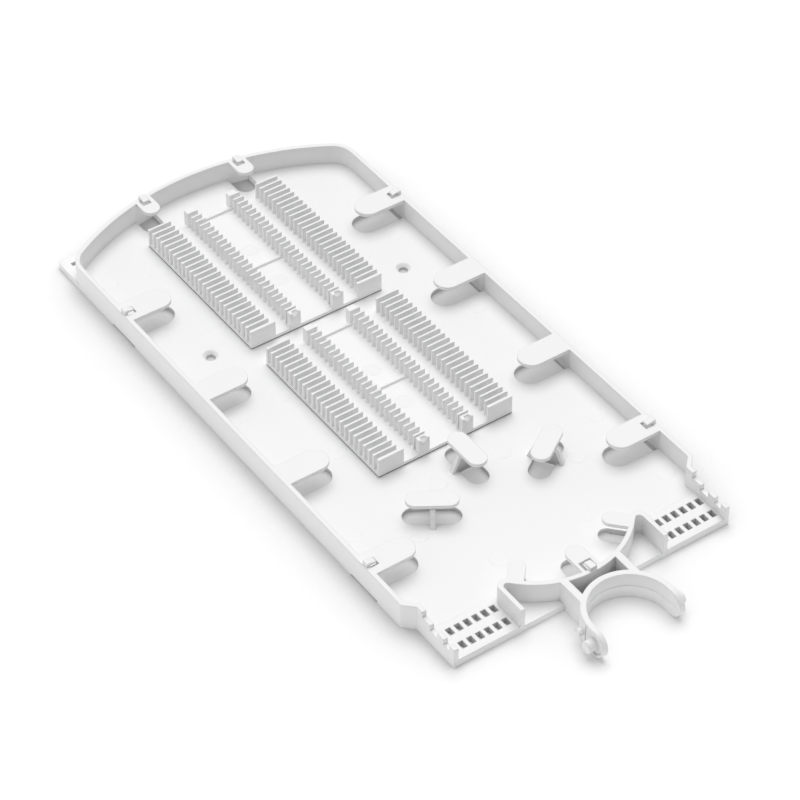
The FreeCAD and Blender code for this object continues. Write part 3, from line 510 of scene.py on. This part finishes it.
def round_edges(piece, radius, edges):
    """Merge the flat faces of a solid and give its edges a small radius."""
    weld = piece.modifiers.new("weld", "WELD")
    weld.merge_threshold = WELD_REACH
    flat = piece.modifiers.new("flat_faces", "DECIMATE")
    flat.decimate_type = "DISSOLVE"
    flat.angle_limit = FLAT_ANGLE
    bevel = piece.modifiers.new("edge_radius", "BEVEL")
    bevel.width = radius
    bevel.segments = edges.steps
    bevel.limit_method = "ANGLE"
    bevel.angle_limit = edges.sharp_angle
    bevel.use_clamp_overlap = True
    bevel.harden_normals = True
    bevel.miter_outer = "MITER_ARC"


def new_piece(name, mesh, material):
    """Put a finished mesh in the scene as a piece of the tray."""
    piece = bpy.data.objects.new(name, mesh)
    bpy.context.scene.collection.objects.link(piece)
    paint(piece, material)
    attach(piece, "root")
    return piece


def mesh_from(name, grid):
    """Turn a finished grid into a mesh whose faces all point outward."""
    mesh = bpy.data.meshes.new(name)
    bmesh.ops.recalc_face_normals(grid, faces=grid.faces)
    grid.to_mesh(mesh)
    grid.free()
    return mesh


def add_disc(grid, centre, radius, height, slope, steps=48):
    """A low round plateau with a sloping rim, closed below."""
    rings = []
    for reach, lift in ((radius, -height), (radius, 0.0), (radius - slope, height)):
        ring = []
        for step in range(steps):
            angle = 2 * math.pi * step / steps
            spot = Vector((math.cos(angle), math.sin(angle), 0.0)) * reach
            ring.append(grid.verts.new(centre + spot + Vector((0.0, 0.0, lift))))
        rings.append(ring)
    for low, high in zip(rings, rings[1:]):
        for step in range(steps):
            after = (step + 1) % steps
            grid.faces.new((low[step], low[after], high[after], high[step]))
    grid.faces.new(rings[0][::-1])
    grid.faces.new(rings[-1])


def add_ledge(grid, path, outward, height, depth):
    """A thin ledge along a path, on the side that outward gives, with a steep underside."""
    profile = ((-depth, -height), (0.0, -height), (depth, 0.0), (0.0, depth / 2),
               (-depth, depth / 2))
    rows = []
    for spot, away in zip(path, outward):
        rows.append([grid.verts.new(spot + away * reach + Vector((0.0, 0.0, lift)))
                     for reach, lift in profile])
    sides = len(rows[0])
    for near, far in zip(rows, rows[1:]):
        for side in range(sides):
            after = (side + 1) % sides
            grid.faces.new((near[side], near[after], far[after], far[side]))
    grid.faces.new(rows[0][::-1])
    grid.faces.new(rows[-1])


class SPLICETRAY_OT_finish_tray(bpy.types.Operator):
    """Round the tray's edges and give it its plastic"""

    bl_idname = "splice_tray.finish_tray"
    bl_label = "Finish the tray"

    def execute(self, context):
        scene = context.scene
        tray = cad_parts[TRAY]
        plastic = scene.tray_plastic
        paint(tray, moulded_plastic("tray_plastic", plastic.tray_color,
                                    scene.tray_edges.tray_softness, plastic.painted_hollow_shade,
                                    plastic.painted_hollow_power, plastic))
        round_edges(tray, scene.tray_edges.tray_radius, scene.tray_edges)
        return {"FINISHED"}


class SPLICETRAY_OT_finish_holders(bpy.types.Operator):
    """Round the edges of both splice holders and give them their plastic"""

    bl_idname = "splice_tray.finish_holders"
    bl_label = "Finish the splice holders"

    def execute(self, context):
        scene = context.scene
        plastic = moulded_plastic("holder_plastic", scene.tray_plastic.holder_color,
                                  scene.tray_edges.holder_softness, 0.0, 1.0,
                                  scene.tray_plastic)
        for name in HOLDERS:
            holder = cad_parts[name]
            paint(holder, plastic)
            round_edges(holder, scene.tray_edges.holder_radius, scene.tray_edges)
        return {"FINISHED"}


class SPLICETRAY_OT_add_ejector_marks(bpy.types.Operator):
    """Add the round marks of the ejector pins to the floor and the holders"""

    bl_idname = "splice_tray.add_ejector_marks"
    bl_label = "Add the ejector marks"

    def execute(self, context):
        marks = context.scene.tray_marks
        plastic = context.scene.tray_plastic
        plain = moulded_plastic("mark_plastic", plastic.tray_color, 0.0, 0.0, 1.0, plastic)
        grid = bmesh.new()
        for across, along in (*WALL_MARKS, *LANE_MARKS, *COIL_MARKS):
            for side in (-1, 1):
                centre = Vector((side * across * MM, along * MM, FLOOR_TOP))
                add_disc(grid, centre, marks.ejector_radius, marks.ejector_height,
                         marks.ejector_slope)
        new_piece("tray_ejector_marks", mesh_from("tray_ejector_marks", grid), plain)
        for name in HOLDERS:
            low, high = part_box(name)
            middle = low[1] + HOLDER_MIDDLE
            grid = bmesh.new()
            for shift in (-marks.holder_mark_place, marks.holder_mark_place):
                add_disc(grid, Vector((0.0, middle + shift, HOLDER_FLOOR)), marks.ejector_radius,
                         marks.ejector_height, marks.ejector_slope)
            new_piece(name + "_marks", mesh_from(name + "_marks", grid), plain)
        return {"FINISHED"}


def add_block(grid, low, high):
    """A closed box between two corners."""
    made = bmesh.ops.create_cube(grid, size=1.0)
    for vert in made["verts"]:
        for axis in range(3):
            vert.co[axis] = high[axis] if vert.co[axis] > 0 else low[axis]


def add_saddle(grid, middle, half, ends, low, high, steps=16):
    """A block whose top is a round chute, as deep at each end as that end says."""
    rows = []
    for along, dip in ends:
        radius = (half * half + dip * dip) / (2 * dip)
        row = []
        for step in range(steps + 1):
            across = half * (2 * step / steps - 1)
            sink = math.sqrt(radius * radius - across * across) - (radius - dip)
            row.append(grid.verts.new((middle + across, along, high - sink)))
        row.append(grid.verts.new((middle + half, along, low)))
        row.append(grid.verts.new((middle - half, along, low)))
        rows.append(row)
    near, far = rows
    count = len(near)
    for step in range(count):
        after = (step + 1) % count
        grid.faces.new((near[step], near[after], far[after], far[step]))
    grid.faces.new(near)
    grid.faces.new(far[::-1])


class SPLICETRAY_OT_add_holder_details(bpy.types.Operator):
    """Add the grooved saddles in the holders' posts and the tops of their cross ribs"""

    bl_idname = "splice_tray.add_holder_details"
    bl_label = "Add the holder details"

    def execute(self, context):
        scene = context.scene
        details = scene.holder_details
        for name in HOLDERS:
            low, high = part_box(name)
            grid = bmesh.new()
            for side in (-1, 1):
                front = low[1] + details.saddle_inset
                ends = ((front, details.saddle_front_dip),
                        (front + details.saddle_length, details.saddle_back_dip))
                add_saddle(grid, side * details.post_place, details.saddle_width / 2, ends,
                           high[2] - details.saddle_bottom, high[2])
            new_piece(name + "_saddles", mesh_from(name + "_saddles", grid),
                      bpy.data.materials["holder_plastic"])
            length = high[1] - LUG_OVERHANG - low[1]
            half = details.rib_width / 2
            grid = bmesh.new()
            for spot in (length / 2, length - details.rib_width):
                middle = low[1] + spot
                add_block(grid, (-details.rib_reach, middle - half, HOLDER_FLOOR),
                          (details.rib_reach, middle + half, HOLDER_FLOOR + details.rib_height))
            ribs = new_piece(name + "_rib_tops", mesh_from(name + "_rib_tops", grid),
                             bpy.data.materials["holder_plastic"])
            round_edges(ribs, scene.tray_edges.holder_radius, scene.tray_edges)
        return {"FINISHED"}


class SPLICETRAY_OT_add_parting_ledge(bpy.types.Operator):
    """Add the fine ledge that the mould's halves leave round the inside of the hinge ring"""

    bl_idname = "splice_tray.add_parting_ledge"
    bl_label = "Add the parting ledge"

    def execute(self, context):
        marks = context.scene.tray_marks
        radius = RING_INNER_RADIUS
        centre = Vector(RING_CENTRE) + Vector((0.0, 0.0, RING_MIDDLE_HEIGHT))
        path = [centre + Vector((radius, -marks.ledge_arm, 0.0))]
        outward = [Vector((-1.0, 0.0, 0.0))]
        steps = 60
        for step in range(steps + 1):
            angle = math.pi * step / steps
            away = Vector((math.cos(angle), math.sin(angle), 0.0))
            path.append(centre + away * radius)
            outward.append(-away)
        path.append(centre + Vector((-radius, -marks.ledge_arm, 0.0)))
        outward.append(Vector((1.0, 0.0, 0.0)))
        grid = bmesh.new()
        add_ledge(grid, path, outward, marks.ledge_height, marks.ledge_depth)
        new_piece("ring_parting_line", mesh_from("ring_parting_line", grid),
                  bpy.data.materials["mark_plastic"])
        return {"FINISHED"}


def add_plate(grid, profile, centre, across, outward, thickness):
    """An upright plate from a profile of sideways and height values."""
    sides = []
    for face in (-0.5, 0.5):
        shift = centre + outward * thickness * face
        sides.append([grid.verts.new(shift + across * side + Vector((0.0, 0.0, height)))
                      for side, height in profile])
    near, far = sides
    for step in range(len(profile)):
        after = (step + 1) % len(profile)
        grid.faces.new((near[step], near[after], far[after], far[step]))
    grid.faces.new(near)
    grid.faces.new(far[::-1])


class SPLICETRAY_OT_add_spool_webs(bpy.types.Operator):
    """Add the thin wall inside the bridge of each storage spool"""

    bl_idname = "splice_tray.add_spool_webs"
    bl_label = "Add the spool webs"

    def execute(self, context):
        webs = context.scene.spool_webs
        plastic = context.scene.tray_plastic
        # The webs' plastic carries deep painted shade, darker where other surfaces are near.
        shaded = moulded_plastic("web_painted_shade_plastic", plastic.tray_color, 0.0, webs.shade, 1.0, plastic)
        right = ((webs.foot, webs.bottom), (webs.foot, FLOOR_TOP),
                 (webs.shoulder, webs.shoulder_height), (webs.top, webs.top_height))
        profile = (*right, *[(-side, height) for side, height in reversed(right)])
        grid = bmesh.new()
        for turn in (-webs.turn, 0.0, webs.turn):
            outward = Vector((math.sin(turn), math.cos(turn), 0.0))
            across = Vector((math.cos(turn), -math.sin(turn), 0.0))
            centre = Vector((0.0, webs.circle_centre, 0.0)) + outward * webs.circle_radius
            add_plate(grid, profile, centre, across, outward, webs.thickness)
        new_piece("spool_webs", mesh_from("spool_webs", grid), shaded)
        return {"FINISHED"}


class SPLICETRAY_OT_build_studio(bpy.types.Operator):
    """Make the white floor, the lamps, the sky and the camera"""

    bl_idname = "splice_tray.build_studio"
    bl_label = "Build the studio"

    def execute(self, context):
        scene = context.scene
        studio = scene.tray_studio
        self.add_floor(scene, studio)
        self.add_lights(scene, studio)
        self.add_camera(scene, studio)
        scene.view_settings.view_transform = "Standard"
        return {"FINISHED"}

    def add_floor(self, scene, studio):
        """A level floor that looks white to the camera, with painted shadow and shade, and a glow
        from below.
        """
        grid = bmesh.new()
        bmesh.ops.create_grid(grid, x_segments=1, y_segments=1, size=studio.floor_size)
        floor = bpy.data.objects.new("studio_floor", mesh_from("studio_floor", grid))
        scene.collection.objects.link(floor)
        material = bpy.data.materials.new("studio_floor")
        shader = Shader(material)
        rays = "ShaderNodeLightPath"
        seen = shader.node(rays, {}, {}, "Is Camera Ray")
        seen = seen + shader.node(rays, {}, {}, "Is Glossy Ray")
        seen = seen + shader.node(rays, {}, {}, "Is Transmission Ray")
        under_tray_shade = self.painted_under_tray_shade(shader)
        # Painted contact shadow: the floor's colour and glow are darkened where the tray is near,
        # less round the ring.
        near = 1.0 - shader.node("ShaderNodeAmbientOcclusion", {"samples": CONTACT_SAMPLES},
                                 {"Distance": studio.painted_contact_reach}, "AO")
        place = shader.node("ShaderNodeTexCoord", {}, {}, "Object")
        ring = 1.0 - shader.reach(place, RING_CENTRE) * (1.0 / studio.ring_reach)
        relief = 1.0 - studio.ring_relief * ring.either(0.0)
        painted_contact = near * seen * relief * studio.painted_contact_depth
        open_tone = shader.tint(opaque(studio.floor_color), opaque(BLACK), painted_contact)
        # Painted shade on the floor under the tray, seen through its openings.
        tone = shader.tint(open_tone, opaque(studio.under_tray_shade_color), under_tray_shade)
        open_lift = (1.0 - painted_contact) * studio.floor_lift
        lift = (open_lift * (1.0 - under_tray_shade) + studio.under_tray_shade_lift * under_tray_shade) * seen
        # Painted light: a glow from the open floor that only lights the tray, not seen by the
        # camera.
        up_glow = (1.0 - seen) * (1.0 - under_tray_shade) * studio.floor_up_glow
        paper = shader.node("ShaderNodeBsdfDiffuse", {}, {"Color": tone})
        glow = shader.node("ShaderNodeEmission", {}, {"Strength": lift + up_glow})
        both = shader.node("ShaderNodeAddShader", {}, {0: paper, 1: glow})
        shader.node("ShaderNodeOutputMaterial", {}, {"Surface": both})
        paint(floor, material)

    @staticmethod
    def painted_under_tray_shade(shader):
        """1 on the floor under the tray, just inside its outline, where shade is painted, and 0
        elsewhere.
        """
        place = shader.node("ShaderNodeTexCoord", {}, {}, "Object")
        across = shader.split(place, "X").size()
        along = shader.split(place, "Y")
        arch = shader.reach(place, (0.0, UnderTrayShade.arch_y, 0.0))
        bay = shader.reach(place, (0.0, UnderTrayShade.bay_y, 0.0))
        ring = shader.reach(place, RING_CENTRE)
        wide = across.below(UnderTrayShade.side) * along.above(UnderTrayShade.front)
        entry = across.below(UnderTrayShade.entry_side) * along.above(UnderTrayShade.entry_front)
        in_arch = arch.below(UnderTrayShade.arch_radius).either(along.below(UnderTrayShade.arch_y))
        beside_bay = across.above(UnderTrayShade.bay_side).either(along.above(UnderTrayShade.bay_y))
        in_bay = beside_bay.either(bay.below(UnderTrayShade.bay_radius))
        rib = across.below(UnderTrayShade.rib_side) * along.above(UnderTrayShade.rib_front)
        rib = rib * ring.above(UnderTrayShade.ring_radius) * along.below(UnderTrayShade.rib_back)
        return (wide.either(entry) * in_arch * in_bay).either(rib)

    def add_lights(self, scene, studio):
        """A soft sky that is weaker in front, and one broad key light."""
        world = bpy.data.worlds.new("studio_sky")
        scene.world = world
        shader = Shader(world)
        seen = shader.node("ShaderNodeLightPath", {}, {}, "Is Camera Ray")
        place = shader.node("ShaderNodeTexCoord", {}, {}, "Generated")
        front = shader.split(place, "Y") * -1.0
        left = shader.split(place, "X") * -1.0
        share = 1.0 - (1.0 - studio.sky_front) * front.either(0.0)
        share = share + studio.sky_left * left.either(0.0)
        strength = (1.0 - seen) * share * studio.sky + seen
        sky = shader.node("ShaderNodeBackground", {}, {"Strength": strength})
        shader.node("ShaderNodeOutputWorld", {}, {"Surface": sky})
        lamp = bpy.data.lights.new("key_light", "SUN")
        lamp.energy = studio.key
        lamp.angle = studio.key_spread
        key = bpy.data.objects.new("key_light", lamp)
        scene.collection.objects.link(key)
        back = self.seen_from(studio.key_azimuth, studio.key_elevation)
        key.rotation_euler = back.to_track_quat("Z", "Y").to_euler()

    def add_camera(self, scene, studio):
        """A camera that stands and looks as the photograph's did."""
        data = bpy.data.cameras.new("camera")
        data.lens = studio.lens
        data.sensor_width = SENSOR_WIDTH
        data.clip_start = 0.01
        data.clip_end = 50.0
        camera = bpy.data.objects.new("camera", data)
        scene.collection.objects.link(camera)
        back = self.seen_from(studio.azimuth, studio.elevation)
        camera.location = Vector(studio.aim) + back * studio.distance
        camera.rotation_euler = back.to_track_quat("Z", "Y").to_euler()
        scene.camera = camera

    @staticmethod
    def seen_from(azimuth, elevation):
        """The direction towards something at this azimuth and elevation."""
        level = math.cos(elevation)
        return Vector((math.sin(azimuth) * level, -math.cos(azimuth) * level,
                       math.sin(elevation)))


class SPLICETRAY_PT_panel(bpy.types.Panel):
    """Sizes, colours and steps of the splice tray"""

    bl_label = "Splice tray"
    bl_space_type = "VIEW_3D"
    bl_region_type = "UI"
    bl_category = "Splice tray"

    def draw(self, context):
        for operator in OPERATORS:
            self.layout.operator(operator.bl_idname)
        for group in GROUPS:
            values = getattr(context.scene, group)
            box = self.layout.box()
            for name in values.bl_rna.properties.keys():
                if name not in {"rna_type", "name"}:
                    box.prop(values, name)


GROUPS = {
    "tray_plastic": Plastic,
    "tray_edges": Edges,
    "tray_marks": Marks,
    "spool_webs": Webs,
    "holder_details": Details,
    "tray_studio": Studio,
}
OPERATORS = (
    SPLICETRAY_OT_finish_tray,
    SPLICETRAY_OT_finish_holders,
    SPLICETRAY_OT_add_ejector_marks,
    SPLICETRAY_OT_add_holder_details,
    SPLICETRAY_OT_add_parting_ledge,
    SPLICETRAY_OT_add_spool_webs,
    SPLICETRAY_OT_build_studio,
)


def register():
    for kind in (*GROUPS.values(), *OPERATORS, SPLICETRAY_PT_panel):
        bpy.utils.register_class(kind)
    for name, kind in GROUPS.items():
        setattr(bpy.types.Scene, name, bpy.props.PointerProperty(type=kind))


def unregister():
    for name in GROUPS:
        delattr(bpy.types.Scene, name)
    for kind in (SPLICETRAY_PT_panel, *reversed(OPERATORS), *GROUPS.values()):
        bpy.utils.unregister_class(kind)


def main():
    """Register the add-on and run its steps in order."""
    register()
    bpy.ops.splice_tray.finish_tray()
    bpy.ops.splice_tray.finish_holders()
    bpy.ops.splice_tray.add_ejector_marks()
    bpy.ops.splice_tray.add_holder_details()
    bpy.ops.splice_tray.add_parting_ledge()
    bpy.ops.splice_tray.add_spool_webs()
    bpy.ops.splice_tray.build_studio()


if __name__ == "__main__":
    main()
